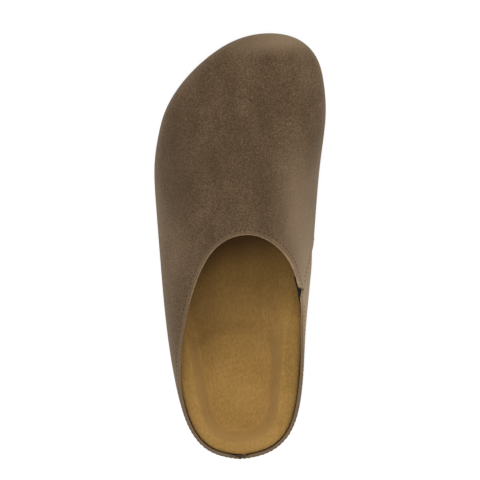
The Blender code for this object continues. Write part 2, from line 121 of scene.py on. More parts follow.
# The widest outline of the upper: station, lateral, medial, level, tuck
PLAN_COLUMNS = ("station", "lateral", "medial", "level", "tuck")
PLAN = (
    (0.020, 0.190, 0.210, 0.170, 0.80),
    (0.058, 0.280, 0.307, 0.170, 0.80),
    (0.115, 0.342, 0.362, 0.170, 0.90),
    (0.190, 0.388, 0.387, 0.175, 1.00),
    (0.300, 0.432, 0.403, 0.180, 1.00),
    (0.450, 0.469, 0.438, 0.185, 1.00),
    (0.600, 0.499, 0.468, 0.190, 1.00),
    (0.700, 0.506, 0.492, 0.200, 1.00),
    (0.760, 0.484, 0.512, 0.215, 1.05),
    (0.810, 0.450, 0.523, 0.235, 1.10),
    (0.886, 0.336, 0.510, 0.230, 1.25),
    (0.942, 0.192, 0.469, 0.225, 1.35),
    (0.981, 0.036, 0.378, 0.220, 1.40),
)
HEEL_TIP = (0.000, -0.015, 0.170, 0.80)
TOE_TIP = (1.000, -0.190, 0.219, 1.40)

# The top line of the collar: station, lateral side, medial side, height
COLLAR = (
    (0.022, 0.187, 0.208, 0.334),
    (0.059, 0.276, 0.303, 0.319),
    (0.116, 0.336, 0.356, 0.344),
    (0.164, 0.359, 0.375, 0.385),
    (0.213, 0.360, 0.386, 0.442),
    (0.254, 0.354, 0.388, 0.495),
    (0.297, 0.337, 0.387, 0.551),
    (0.370, 0.296, 0.383, 0.645),
    (0.437, 0.236, 0.342, 0.770),
    (0.473, 0.188, 0.294, 0.880),
    (0.498, 0.133, 0.233, 0.940),
)
COLLAR_HEEL = (0.0041, -0.015, 0.364)
THROAT = (0.527, -0.057, 0.990)

# The ridge of the vamp, and the exponents of its curve down to the outline
VAMP_COLUMNS = ("station", "height", "flank", "shoulder")
VAMP = (
    (0.000, 1.000, 2.4, 2.4),
    (0.400, 1.000, 2.4, 2.4),
    (0.527, 0.995, 2.3, 2.3),
    (0.585, 0.910, 2.4, 2.3),
    (0.670, 0.797, 2.5, 2.3),
    (0.757, 0.669, 2.8, 2.4),
    (0.802, 0.602, 3.1, 2.5),
    (0.843, 0.553, 3.5, 2.6),
    (0.903, 0.511, 4.0, 2.7),
    (1.000, 0.450, 4.4, 2.8),
)
SPINE_COLUMNS = ("station", "side")
SPINE = (
    (0.000, -0.015),
    (0.150, -0.015),
    (0.375, -0.035),
    (0.527, -0.057),
    (0.815, -0.060),
    (1.000, -0.060),
)
FOOTBED_COLUMNS = (
    "station", "floor", "lateral_rim", "medial_rim", "lateral_crest", "medial_crest", "arch"
)
FOOTBED = (
    (0.000, 0.40, 0.97, 0.97, 0.58, 0.58, 0.0),
    (0.060, 0.39, 0.88, 0.90, 0.66, 0.80, 0.0),
    (0.150, 0.38, 0.86, 0.92, 0.84, 1.06, 0.0),
    (0.220, 0.38, 0.85, 0.99, 0.86, 1.12, 0.0),
    (0.272, 0.39, 0.83, 1.05, 0.80, 1.06, 0.2),
    (0.343, 0.50, 0.75, 1.10, 0.66, 0.78, 0.8),
    (0.400, 0.53, 0.69, 1.06, 0.58, 0.64, 1.0),
    (0.460, 0.50, 0.63, 0.96, 0.56, 0.60, 1.0),
    (0.580, 0.40, 0.54, 0.70, 0.56, 0.60, 0.7),
    (0.700, 0.32, 0.46, 0.50, 0.56, 0.60, 0.2),
    (0.850, 0.34, 0.44, 0.46, 0.56, 0.56, 0.0),
    (1.000, 0.32, 0.44, 0.44, 0.56, 0.56, 0.0),
)

# The studio
CAMERA_LENS = 305
CAMERA_PLACE = (0.0, -0.0038, 2.60)
SKY_STRENGTH = 0.86
FLOOR_GLOW = 0.72
FLOOR_REACH = 4
# Lamps: name, place, point aimed at, size, power
LAMPS = (
    ("key", (-1.2, -0.9, 1.6), (0, 0, 0.03), 1.4, 34),
    ("top", (0.1, 0.5, 2.2), (0, 0.05, 0.03), 1.2, 24),
)

# How finely the pieces are cut up
CURVE_STEPS = 1440
SURVEY_STEPS = 36
VAMP_STEPS = 62
WALL_STEPS = 7
INNER_STEPS = 26
CROWN_STEPS = 54
RIM_STEPS = 6
RIB_STEPS = 8
GORE_ROWS = 22
SHELL_SPACING = 0.0020
HEEL_SPACING = 0.00028
HEEL_FINE = (0.0012, 0.009)
SEAM_SPACING = 0.00055
SEAM_MIDDLE = 0.118
SEAM_FINE = (0.024, 0.036)
FOOTBED_SPACING = 0.0022
FOOTBED_FANS = 100
MARGIN_POINTS = 3
CREASE_ANGLE = 40
SOLE_CREASE_ANGLE = 50


# Curves and the shape of the last

def unit(value):
    """The value kept between 0 and 1."""
    return min(max(value, 0.0), 1.0)


def smooth(value, low, high):
    """0 below low, 1 above high and a soft step between."""
    share = np.clip((value - low) / (high - low), 0.0, 1.0)
    return share * share * (3 - 2 * share)


def travelled(line):
    """How far along a line of points each of them lies."""
    steps = np.linalg.norm(np.diff(line, axis=0), axis=1)
    return np.concatenate(([0.0], np.cumsum(steps)))


def column(table, names, name, station):
    """Smooth value of a table's column at a station, by a cubic through its rows."""
    index = names.index(name)
    stations = [row[0] for row in table]
    values = [row[index] for row in table]
    if station <= stations[0]:
        return values[0]
    if station >= stations[-1]:
        return values[-1]
    right = next(i for i, s in enumerate(stations) if s > station)
    left = right - 1
    span = stations[right] - stations[left]
    share = (station - stations[left]) / span
    slopes = []
    for i in (left, right):
        before = max(i - 1, 0)
        after = min(i + 1, len(table) - 1)
        slopes.append((values[after] - values[before]) / (stations[after] - stations[before]))
    rise = values[right] - values[left]
    bend_in = slopes[0] * span - rise
    bend_out = rise - slopes[1] * span
    bend = bend_in * (1 - share) + bend_out * share
    return values[left] + share * rise + share * (1 - share) * bend


def closed_curve(points, steps=CURVE_STEPS):
    """Smooth closed curve through the points: a periodic cubic spline."""
    points = np.array(points, dtype=float)
    gaps = np.linalg.norm(np.roll(points, -1, axis=0)[:, :2] - points[:, :2], axis=1)
    total = len(points)
    system = np.zeros((total, total))
    pull = np.zeros_like(points)
    for i in range(total):
        before = (i - 1) % total
        after = (i + 1) % total
        system[i, before] += gaps[before]
        system[i, i] += 2 * (gaps[before] + gaps[i])
        system[i, after] += gaps[i]
        ahead = (points[after] - points[i]) / gaps[i]
        behind = (points[i] - points[before]) / gaps[before]
        pull[i] = 6 * (ahead - behind)
    bends = np.linalg.solve(system, pull)
    starts = np.concatenate(([0.0], np.cumsum(gaps)))
    curve = []
    for mark in np.linspace(0, starts[-1], steps, endpoint=False):
        i = int(np.searchsorted(starts, mark, side="right")) - 1
        after = (i + 1) % total
        gap = gaps[i]
        b = (mark - starts[i]) / gap
        a = 1 - b
        lift = (a ** 3 - a) * bends[i] + (b ** 3 - b) * bends[after]
        curve.append(a * points[i] + b * points[after] + lift * gap * gap / 6)
    return np.array(curve)


def cross(a, b):
    """Area of the level parallelogram of two directions."""
    return a[..., 0] * b[..., 1] - a[..., 1] * b[..., 0]


def crossing(loop, start, heading):
    """Where a level ray leaves a closed loop: the loop's values at that point."""
    after = np.roll(loop, -1, axis=0)
    edges = after[:, :2] - loop[:, :2]
    away = loop[:, :2] - start
    spread = cross(np.broadcast_to(heading, edges.shape), edges)
    spread = np.where(np.abs(spread) < 1e-12, 1e-12, spread)
    share = cross(away, np.broadcast_to(heading, away.shape)) / spread
    reach = cross(away, edges) / spread
    hits = np.where((share >= -1e-9) & (share <= 1 + 1e-9) & (reach > 0))[0]
    i = hits[np.argmax(reach[hits])]
    return loop[i] + share[i] * (after[i] - loop[i])


def ring(back, rows, front, sizes):
    """Rows of a table as points round the shoe: side, station and the rest, in metres."""
    lateral = [(wide, s, *rest) for s, wide, _, *rest in rows]
    medial = [(-wide, s, *rest) for s, _, wide, *rest in reversed(rows)]
    heel, toe = [(side, s, *rest) for s, side, *rest in (back, front)]
    return np.array([heel] + lateral + [toe] + medial) * sizes


OUTLINE = closed_curve(
    ring(HEEL_TIP, PLAN, TOE_TIP, (BALL_WIDTH, SHOE_LENGTH, INSTEP_HEIGHT, TUCK)))
COLLAR_LINE = closed_curve(
    ring(COLLAR_HEEL, COLLAR, THROAT, (BALL_WIDTH, SHOE_LENGTH, INSTEP_HEIGHT)))
AXIS_SHIFT = (OUTLINE[:, 0].max() + OUTLINE[:, 0].min()) / 2


def place(points):
    """Points of the shoe (side, station, height) in the row frame."""
    points = np.asarray(points, dtype=float).reshape(-1, 3)
    return points * (1, -1, 1) + (-AXIS_SHIFT, SHOE_LENGTH / 2, 0)


def spring(station):
    """Height of the sole's underside over the floor: flat, then up to the toe."""
    start = SPRING_START * SHOE_LENGTH
    end = SHOE_LENGTH - TUCK
    return TOE_SPRING * unit((station - start) / (end - start)) ** 2


def seat(station):
    """Height of the sole's upper face, which carries the upper and the footbed."""
    start = SPRING_START * SHOE_LENGTH
    share = unit((station - start) / (SHOE_LENGTH - start))
    return spring(station) + SOLE_THICKNESS + (TOE_SOLE_THICKNESS - SOLE_THICKNESS) * share


def spine_side(station):
    return BALL_WIDTH * column(SPINE, SPINE_COLUMNS, "side", station / SHOE_LENGTH)


def ray_through(side, station, front=FAN_CENTRE):
    """The level ray, from the middle of the foot, that passes a point of the plan."""
    near = HEEL_CENTRE * SHOE_LENGTH
    far = front * SHOE_LENGTH
    root = min(max(station, near), far)
    start = np.array((spine_side(root), root))
    if near <= station <= far:
        heading = np.array((math.copysign(1.0, side - start[0]), 0.0))
    else:
        heading = np.array((side, station)) - start
        heading /= np.linalg.norm(heading)
    return start, heading


def ridge_share(side, station):
    """0 over the middle line of the last and 1 at its widest outline."""
    root = min(station, TOE_CENTRE * SHOE_LENGTH)
    start = np.array((spine_side(root), root))
    away = np.array((side, station)) - start
    distance = np.linalg.norm(away)
    if distance < 1e-6:
        return 0.0
    edge = crossing(OUTLINE, start, away / distance)
    return min(distance / np.linalg.norm(edge[:2] - start), 1.0)


def flank_share(side, station):
    """Share of the full rise that the last keeps at a point of the plan."""
    where = station / SHOE_LENGTH
    flank = column(VAMP, VAMP_COLUMNS, "flank", where)
    shoulder = column(VAMP, VAMP_COLUMNS, "shoulder", where)
    return (1 - ridge_share(side, station) ** flank) ** (1 / shoulder)


def widest_level(station):
    level = column(PLAN, PLAN_COLUMNS, "level", station / SHOE_LENGTH)
    return level * INSTEP_HEIGHT


def ridge_height(station):
    return INSTEP_HEIGHT * column(VAMP, VAMP_COLUMNS, "height", station / SHOE_LENGTH)


def outline_normal(point):
    """Level direction out of the outline at one of its points."""
    i = int(np.argmin(np.linalg.norm(OUTLINE[:, :2] - point[:2], axis=1)))
    along = OUTLINE[(i + 6) % len(OUTLINE)] - OUTLINE[(i - 6) % len(OUTLINE)]
    normal = np.array((along[1], -along[0]))
    return normal / np.linalg.norm(normal)


def outline_rays(spacing, front=FAN_CENTRE):
    """Rays round the shoe, as close as spacing(side, station) asks, from the heel seam."""
    loop = np.vstack((OUTLINE, OUTLINE[:1]))[:, :2]
    steps = np.linalg.norm(np.diff(loop, axis=0), axis=1)
    wanted = np.array([1 / spacing(side, station) for side, station in loop])
    weight = np.concatenate(([0.0], np.cumsum(steps * (wanted[1:] + wanted[:-1]) / 2)))
    count = int(round(weight[-1]))
    marks = np.arange(count) * weight[-1] / count
    sides = np.interp(marks, weight, loop[:, 0])
    stations = np.interp(marks, weight, loop[:, 1])
    return [ray_through(side, station, front) for side, station in zip(sides, stations)]


def wall_line(start, heading):
    """The upper's outer face on one ray, from its hidden margin up to the widest line."""
    edge = crossing(OUTLINE, start, heading)
    out = outline_normal(edge)
    level, tuck = edge[2], edge[3] + SOLE_LEDGE
    points = []

    def below(inset, lift):
        side, station = edge[:2] - out * inset
        points.append((side, station, seat(station) + CLEARANCE + lift))

    below(tuck + MARGIN_WIDTH, 0.0)
    below(tuck + MARGIN_WIDTH / 2, 0.0)
    below(tuck + FEATHER_RADIUS, 0.0)
    below(tuck + FEATHER_RADIUS * 0.45, FEATHER_RADIUS * 0.08)
    for i in range(WALL_STEPS):
        lift = FEATHER_RADIUS / 2 + (level - FEATHER_RADIUS / 2) * i / WALL_STEPS
        below(tuck * (1 - lift / level) ** 2, lift)
    below(0.0, level)
    return edge, points


def vamp_line(edge, top):
    """The upper's outer face from its widest line to the collar, evenly spaced."""
    def rise(station):
        return ridge_height(station) - widest_level(station)

    full = (top[2] - widest_level(top[1])) / flank_share(*top[:2])
    sag = full - rise(top[1])

    def at(share):
        side, station = edge[:2] + (top[:2] - edge[:2]) * share
        height = widest_level(station) + (rise(station) + sag) * flank_share(side, station)
        return side, station, seat(station) + CLEARANCE + height

    shares = (np.arange(SURVEY_STEPS + 1) / SURVEY_STEPS) ** 2
    survey = np.array([at(share) for share in shares])
    along = travelled(survey)
    marks = along[-1] * np.arange(1, VAMP_STEPS + 1) / VAMP_STEPS
    return [at(share) for share in np.interp(marks, along, shares)]


def grid_normals(grid):
    """Unit directions out of a surface given as lines of points round the shoe."""
    ahead = np.roll(grid, -1, axis=0) - np.roll(grid, 1, axis=0)
    up = np.empty_like(grid)
    up[:, 1:-1] = grid[:, 2:] - grid[:, :-2]
    up[:, 0] = grid[:, 1] - grid[:, 0]
    up[:, -1] = grid[:, -1] - grid[:, -2]
    normals = np.cross(ahead, up)
    return normals / np.linalg.norm(normals, axis=2, keepdims=True)


def at_height(line, height):
    """Point where a rising line of points passes a height, or straight below its foot."""
    if height <= line[0][2]:
        return np.array((line[0][0], line[0][1], height))
    for low, high in zip(line, line[1:]):
        if low[2] <= height <= high[2]:
            share = (height - low[2]) / max(high[2] - low[2], 1e-9)
            return low + (high - low) * share
    return line[-1]


def respaced(line, count):
    """The same line of points with a given number of even steps."""
    line = np.asarray(line)
    along = travelled(line)
    marks = np.linspace(0, along[-1], count + 1)
    return np.stack([np.interp(marks, along, line[:, k]) for k in range(3)], axis=1)


# Meshes

def grid_faces(rows, columns, close_rows=True, close_columns=False):
    """Quads between the lines of a grid; they face outwards once placed."""
    faces = []
    for i in range(rows if close_rows else rows - 1):
        for j in range(columns if close_columns else columns - 1):
            a = i * columns + j
            b = ((i + 1) % rows) * columns + j
            c = ((i + 1) % rows) * columns + (j + 1) % columns
            d = i * columns + (j + 1) % columns
            faces.append((a, d, c, b))
    return faces


def add_object(name, data):
    """New object in the scene, at the origin."""
    thing = bpy.data.objects.new(name, data)
    bpy.context.scene.collection.objects.link(thing)
    return thing


def add_mesh(name, points, faces, looks, slots=None, angle=CREASE_ANGLE):
    """New object from points of the shoe, with one material per slot number."""
    mesh = bpy.data.meshes.new(name)
    mesh.from_pydata(place(points).tolist(), [], faces)
    for look in looks:
        mesh.materials.append(look)
    if slots is not None:
        mesh.polygons.foreach_set("material_index", slots)
    body = bmesh.new()
    body.from_mesh(mesh)
    bmesh.ops.remove_doubles(body, verts=body.verts, dist=2e-6)
    bmesh.ops.dissolve_degenerate(body, edges=body.edges, dist=1e-7)
    bmesh.ops.recalc_face_normals(body, faces=body.faces)
    body.to_mesh(mesh)
    body.free()
    mesh.shade_smooth()
    mesh.set_sharp_from_angle(angle=math.radians(angle))
    return add_object(name, mesh)


def add_loft(name, sections, look, angle=CREASE_ANGLE):
    """New object through closed sections that stand in a row, shut at both ends."""
    rows, columns = sections.shape[:2]
    faces = grid_faces(rows, columns, close_rows=False, close_columns=True)
    last = (rows - 1) * columns
    faces.append(tuple(range(columns)))
    faces.append(tuple(last + j for j in reversed(range(columns))))
    return add_mesh(name, sections.reshape(-1, 3), faces, [look], angle=angle)


def keep_as_mesh(thing):
    """The object's shape with its modifiers worked in, and the modifiers removed."""
    bpy.context.view_layer.update()
    graph = bpy.context.evaluated_depsgraph_get()
    mesh = bpy.data.meshes.new_from_object(thing.evaluated_get(graph))
    thing.modifiers.clear()
    thing.data = mesh
    return thing


def point_value(thing, name, values):
    """Store one number per point of a mesh, for its material."""
    data = thing.data.attributes.new(name, "FLOAT", "POINT")
    data.data.foreach_set("value", np.asarray(values, dtype=np.float32))


def mesh_points(thing):
    """Points of a mesh as side, station, height."""
    points = np.empty(len(thing.data.vertices) * 3)
    thing.data.vertices.foreach_get("co", points)
    points = points.reshape(-1, 3) - (-AXIS_SHIFT, SHOE_LENGTH / 2, 0)
    return points * (1, -1, 1)


def distance_to(line, points):
    """Distance from each point to the nearest point of a line of points."""
    nearest = np.full(len(points), 1e9)
    for chunk in np.array_split(np.arange(len(points)), max(1, len(points) // 2000)):
        gaps = points[chunk, None, :] - line[None, :, :]
        nearest[chunk] = np.sqrt((gaps ** 2).sum(axis=2)).min(axis=1)
    return nearest


# Looks

def plug(tree, socket, value):
    """Link a node's socket to another one, or give it a fixed value."""
    if isinstance(value, bpy.types.NodeSocket):
        tree.links.new(value, socket)
    else:
        socket.default_value = value


def add_node(tree, kind, values=None, **settings):
    """New node with its inputs, by name or number, and its settings."""
    made = tree.nodes.new(kind)
    for key, value in settings.items():
        setattr(made, key, value)
    for key, value in (values or {}).items():
        plug(tree, made.inputs[key], value)
    return made


class Look:
    """A material built up from nodes by short calls."""

    def __init__(self, name, roughness, **shader):
        self.material = bpy.data.materials.new(name)
        self.material.use_nodes = True
        self.tree = self.material.node_tree
        self.shader = self.tree.nodes["Principled BSDF"]
        self.set({"Roughness": roughness, "Metallic": 0.0})
        self.set({key.replace("_", " "): value for key, value in shader.items()})
        self.coordinates = self.tree.nodes.new("ShaderNodeTexCoord").outputs["Object"]

    def set(self, values):
        """Set the inputs of the surface shader."""
        for key, value in values.items():
            plug(self.tree, self.shader.inputs[key], value)

    def node(self, kind, values=None, **settings):
        return add_node(self.tree, kind, values, **settings)

    def stretched(self, scale, turn):
        """Object coordinates squeezed along each axis and turned about Z."""
        values = {"Vector": self.coordinates, "Scale": scale, "Rotation": (0, 0, turn)}
        return self.node("ShaderNodeMapping", values).outputs["Vector"]

    def noise(self, size, detail=3.0, vector=None, roughness=0.55):
        """Noise whose blots are about this size in metres, from 0 to 1."""
        values = {"Scale": 1 / size, "Detail": detail, "Roughness": roughness}
        values["Vector"] = vector or self.coordinates
        return self.node("ShaderNodeTexNoise", values).outputs["Fac"]

    def band(self, value, low, high, to_low=0.0, to_high=1.0):
        """A value taken from one range to another with a soft step."""
        values = {"Value": value, "From Min": low, "From Max": high,
                  "To Min": to_low, "To Max": to_high}
        made = self.node("ShaderNodeMapRange", values, interpolation_type="SMOOTHSTEP")
        return made.outputs["Result"]

    def maths(self, operation, a, b):
        return self.node("ShaderNodeMath", {0: a, 1: b}, operation=operation).outputs["Value"]

    def attribute(self, name):
        return self.node("ShaderNodeAttribute", attribute_name=name).outputs["Fac"]

    def mix(self, share, a, b, blend="MIX"):
        """Two colours mixed: each a socket, or a paint of three numbers."""
        a, b = [(*paint, 1.0) if isinstance(paint, tuple) else paint for paint in (a, b)]
        made = self.node("ShaderNodeMix", {0: share}, data_type="RGBA", blend_type=blend)
        for number, paint in ((6, a), (7, b)):
            plug(self.tree, made.inputs[number], paint)
        return made.outputs[2]

    def bump(self, height, distance, strength, under=None):
        values = {"Height": height, "Distance": distance, "Strength": strength}
        if under is not None:
            values["Normal"] = under
        return self.node("ShaderNodeBump", values).outputs["Normal"]

    def finish(self, colour, normal=None, roughness=None):
        self.set({"Base Color": colour})
        if normal is not None:
            self.set({"Normal": normal})
        if roughness is not None:
            self.set({"Roughness": roughness})
        return self.material


def tint(red, green, blue):
    """Scene colour of a paint given as it looks on a screen, from 0 to 255."""
    def straight(value):
        value /= 255
        return value / 12.92 if value <= 0.04045 else ((value + 0.055) / 1.055) ** 2.4
    return (straight(red), straight(green), straight(blue))


def nap_look(name, dark, mid, light, stroke, grit, sheen):
    """Brushed suede: soft cloudy nap, faint lengthwise strokes and fine speckle."""
    look = Look(name, 0.95, Sheen_Weight=sheen, Sheen_Roughness=0.5,
                Sheen_Tint=(*tint(222, 202, 174), 1.0), Specular_IOR_Level=0.12)
    clouds = look.noise(0.026, 3.0)
    strokes = look.noise(0.011, 4.0, look.stretched((1.0, 0.34, 0.6), 0.2))
    speck = look.noise(0.0006, 2.0, roughness=0.7)
    pile = look.noise(0.0014, 3.0, look.stretched((1.0, 0.6, 1.0), -0.2))
    colour = look.mix(look.band(clouds, 0.34, 0.66), mid, light)
    colour = look.mix(look.band(strokes, 0.60, 0.36, 0.0, stroke), colour, dark)
    grain = look.mix(look.band(speck, 0.40, 0.62), (0.56, 0.56, 0.56), (1.42, 1.42, 1.40))
    colour = look.mix(grit, colour, grain, "MULTIPLY")
    worn = look.mix(look.band(pile, 0.35, 0.68), (0.88, 0.88, 0.88), (1.10, 1.10, 1.10))
    colour = look.mix(0.8, colour, worn, "MULTIPLY")
    normal = look.bump(strokes, 0.0006, 0.2)
    normal = look.bump(pile, 0.00035, 0.8, normal)
    normal = look.bump(speck, 0.00022, 0.9, normal)
    return look, colour, normal


def suede_look():
    """Taupe suede of the upper, with painted light and painted shade, a paler band along the
    collar's edge and painted shade along its seams.
    """
    look, colour, normal = nap_look(
        "taupe suede", tint(70, 54, 38), tint(84, 66, 48), tint(93, 74, 55), 0.4, 1.0, 0.19)
    # Painted light where shade is above 0 and painted shade below it
    shade = look.attribute("shade")
    colour = look.mix(look.band(shade, 0.0, 1.0), colour, tint(140, 119, 94))
    colour = look.mix(look.band(shade, 0.0, -1.0), colour, tint(46, 34, 23))
    # A paler band within 5 mm of the collar's edge
    edge = look.attribute("edge")
    collar_band = look.maths("MULTIPLY", look.band(edge, 0.005, 0.0), 0.3)
    colour = look.mix(collar_band, colour, tint(120, 100, 77))
    # Painted shade: a dark line along the curved inner seam and the heel seam, where the
    # crevice of the overlap falls in shadow
    seam = look.attribute("seam")
    colour = look.mix(look.band(seam, 0.0013, 0.0004, 0.0, 0.92), colour, tint(28, 20, 15))
    return look.finish(colour, normal)


def cut_edge_look():
    """The raw cut edge of the suede: pale, a little fibrous."""
    look = Look("suede cut edge", 0.95, Specular_IOR_Level=0.1)
    fibre = look.noise(0.0009, 3.0)
    patch = look.noise(0.007, 3.0)
    colour = look.mix(look.band(fibre, 0.3, 0.7), tint(124, 102, 76), tint(168, 143, 112))
    colour = look.mix(look.band(patch, 0.42, 0.7, 0.0, 0.5), colour, tint(96, 76, 56))
    rear = look.attribute("rear")
    colour = look.mix(look.band(rear, 0.0, 1.0, 0.0, 0.85), colour, tint(97, 79, 61))
    return look.finish(colour, look.bump(fibre, 0.0003, 0.8))


def lining_look():
    """Brushed lining in dark brown: partly its own tone, partly painted shade standing for the
    shadowed gap between the wall and the footbed.
    """
    look = Look("brown lining", 0.95, Sheen_Weight=0.15, Specular_IOR_Level=0.1)
    fibre = look.noise(0.0008, 3.0)
    colour = look.mix(look.band(fibre, 0.3, 0.7), tint(64, 44, 37), tint(90, 66, 55))
    return look.finish(colour, look.bump(fibre, 0.0003, 0.8))


def thread_look():
    look = Look("brown thread", 0.7, Specular_IOR_Level=0.3)
    strand = look.noise(0.0004, 2.0)
    # Dark brown: partly the thread's own tone, partly painted shade for the shadowed needle
    # holes
    colour = look.mix(look.band(strand, 0.35, 0.65), tint(42, 31, 22), tint(62, 47, 34))
    return look.finish(colour, look.bump(strand, 0.0001, 0.6))


def elastic_look():
    """Ribbed elastic, near black with a greenish cast."""
    look = Look("black elastic", 0.9, Specular_IOR_Level=0.15)
    thread = look.noise(0.0004, 2.0)
    rib = look.attribute("rib")
    colour = look.mix(look.band(thread, 0.3, 0.7), tint(20, 17, 15), tint(38, 33, 29))
    # Painted shade in the grooves between the ribs
    colour = look.mix(look.band(rib, 0.0, 1.0), tint(10, 9, 8), colour)
    return look.finish(colour, look.bump(thread, 0.0002, 0.7))


def footbed_look():
    """Tan suede over the footbed, with painted light and painted shade, a paler rim at the heel
    and a painted shadow line along its edge.
    """
    look, colour, normal = nap_look(
        "footbed suede", tint(132, 99, 50), tint(145, 111, 58), tint(153, 118, 65),
        0.12, 0.26, 0.12)
    # Painted light where shade is above 0 and painted shade below it
    shade = look.attribute("shade")
    colour = look.mix(look.maths("MAXIMUM", shade, 0.0), colour, tint(198, 157, 92))
    painted_dark = look.maths("MULTIPLY", look.maths("MINIMUM", shade, 0.0), -1.0)
    colour = look.mix(painted_dark, colour, tint(66, 44, 20))
    # Painted shadow: the dark line where the footbed meets the lining
    edge = look.attribute("edge")
    colour = look.mix(look.band(edge, 0.0, 1.0), colour, tint(40, 24, 20))
    return look.finish(colour, normal)


def sole_look():
    """Burgundy-brown foam rubber, matt with fine pores."""
    look = Look("sole rubber", 0.62, Specular_IOR_Level=0.35)
    pores = look.noise(0.0006, 2.0)
    cloud = look.noise(0.02, 3.0)
    colour = look.mix(look.band(cloud, 0.3, 0.7), tint(47, 34, 33), tint(58, 43, 40))
    dust = look.mix(look.band(pores, 0.45, 0.62), (0.86, 0.86, 0.86), (1.12, 1.12, 1.12))
    colour = look.mix(0.8, colour, dust, "MULTIPLY")
    rough = look.band(cloud, 0.3, 0.7, 0.55, 0.72)
    return look.finish(colour, look.bump(pores, 0.00015, 0.6), rough)


# The suede shell

# Soft places seen from above: painted light and painted shade, with some of the nap's own
# uneven tone. station, side: where, as shares of
# SHOE_LENGTH and BALL_WIDTH; length, width: its reach in metres; turn: in degrees;
# shade: painted light above 0, painted shade below; lift: a soft swell or hollow in metres
PATCH_COLUMNS = ("station", "side", "length", "width", "turn", "shade", "lift")
PATCHES = (
    (0.66, 0.38, 0.040, 0.015, 4, -0.44, 0.0),
    (0.50, 0.38, 0.022, 0.010, 8, 0.10, 0.0),
    (0.86, -0.10, 0.030, 0.034, 0, -0.14, 0.0),
    (0.985, -0.26, 0.010, 0.038, 8, 0.62, 0.0),
    (0.90, -0.42, 0.018, 0.014, -25, 0.22, 0.0),
    (0.70, -0.40, 0.040, 0.010, 0, 0.10, 0.0),
    (0.60, -0.33, 0.040, 0.016, 4, 0.34, 0.0002),
    (0.45, -0.40, 0.030, 0.012, 4, 0.34, 0.0),
    (0.31, -0.41, 0.028, 0.009, 0, 0.98, 0.0),
    (0.72, 0.18, 0.035, 0.018, -6, -0.16, -0.0003),
    (0.56, 0.02, 0.026, 0.020, 0, -0.12, -0.0003),
    (0.53, 0.28, 0.030, 0.014, 8, 0.20, 0.0002),
    (0.42, 0.40, 0.035, 0.010, 6, 0.12, 0.0),
)


# Painted light and painted shade on the footbed, in the same columns
FOOTBED_PATCHES = (
    (0.33, 0.18, 0.028, 0.010, 0, -0.14, 0.0),
    (0.27, 0.40, 0.010, 0.008, 0, 0.14, 0.0),
    (0.335, -0.31, 0.014, 0.012, 0, 0.20, 0.0),
    (0.19, -0.30, 0.020, 0.006, 0, -0.10, 0.0),
    (0.26, 0.21, 0.018, 0.004, 4, -0.10, 0.0),
)


def patch_value(points, name, table=PATCHES):
    """Sum of the soft places of a table at each point."""
    total = np.zeros(len(points))
    index = PATCH_COLUMNS.index(name)
    for patch in table:
        station, side, length, width, turn = patch[:5]
        forward = points[:, 1] - station * SHOE_LENGTH
        across = points[:, 0] - side * BALL_WIDTH
        angle = math.radians(turn)
        u = forward * math.cos(angle) + across * math.sin(angle)
        v = across * math.cos(angle) - forward * math.sin(angle)
        total += patch[index] * np.exp(-(u / length) ** 2 - (v / width) ** 2)
    return total


def inner_collar(station):
    """Point of the collar on the inner side of the foot at a station."""
    middle = np.array((spine_side(station), station))
    return crossing(COLLAR_LINE, middle, np.array((-1.0, 0.0)))


def notch_corners():
    """Corners of the wedge cut into the collar in front of the elastic: station, height."""
    middle = NOTCH_PLACE * SHOE_LENGTH
    side, _, height = inner_collar(middle)
    brim = seat(middle) + height
    return side, (
        (middle - NOTCH_WIDTH * 1.3, brim + NOTCH_DEPTH),
        (middle + NOTCH_WIDTH * 0.64, brim + NOTCH_DEPTH),
        (middle + NOTCH_WIDTH * 0.4, brim - NOTCH_DEPTH),
    )


def seam_line():
    """The curved seam of the inner side, as station and height from the notch down."""
    station, height = notch_corners()[1][-1]
    turns = np.linspace(0, math.pi / 2, 181)
    forward = station + (SEAM_FOOT - station) * np.sin(turns)
    upward = SOLE_THICKNESS + (height - SOLE_THICKNESS) * np.cos(turns)
    return np.stack([forward, upward], axis=1)


def behind_seam(points, seam):
    """How far each point of the inner side lies behind the curved seam."""
    ahead = np.interp(points[:, 2], seam[::-1, 1], seam[::-1, 0])
    far = distance_to(seam, points[:, 1:])
    return np.where(points[:, 1] < ahead, far, -far)


def shell_spacing(side, station):
    """Distance wanted between rays: fine at the heel seam and the inner side's seam."""
    heel = abs(side - HEEL_SEAM_SIDE) if station < HEEL_END else 1.0
    wide = SHELL_SPACING
    if heel < HEEL_FINE[1]:
        wide = HEEL_SPACING + (wide - HEEL_SPACING) * smooth(heel, *HEEL_FINE)
    if side < 0:
        near = smooth(abs(station - SEAM_MIDDLE), *SEAM_FINE)
        wide = min(wide, SEAM_SPACING + (SHELL_SPACING - SEAM_SPACING) * near)
    return wide


def seam_relief(grid, seam):
    """How deep the suede behind the curved seam lies under the part in front of it."""
    behind = behind_seam(grid.reshape(-1, 3), seam).reshape(grid.shape[:2])
    side, station, height = np.moveaxis(grid, 2, 0)
    part = (side < INNER_PART) & (station > SEAM_PART[0]) & (station < SEAM_PART[1])
    sunk = smooth(behind, -OVERLAP_EDGE, OVERLAP_EDGE)
    sunk *= 1 - smooth(behind, *OVERLAP_FADE)
    sunk *= 1 - smooth(height - seam[0, 1], *SEAM_TOP_FADE)
    return np.where(part, OVERLAP_STEP * sunk, 0.0)


def heel_share(grid):
    """1 along the seam at the back of the heel, fading to each side and off the margin."""
    share = np.exp(-((grid[..., 0] - HEEL_SEAM_SIDE) / HEEL_GROOVE_WIDTH) ** 2)
    share = np.where(grid[..., 1] < HEEL_END, share, 0.0)
    share[:, :MARGIN_POINTS] = 0
    return share


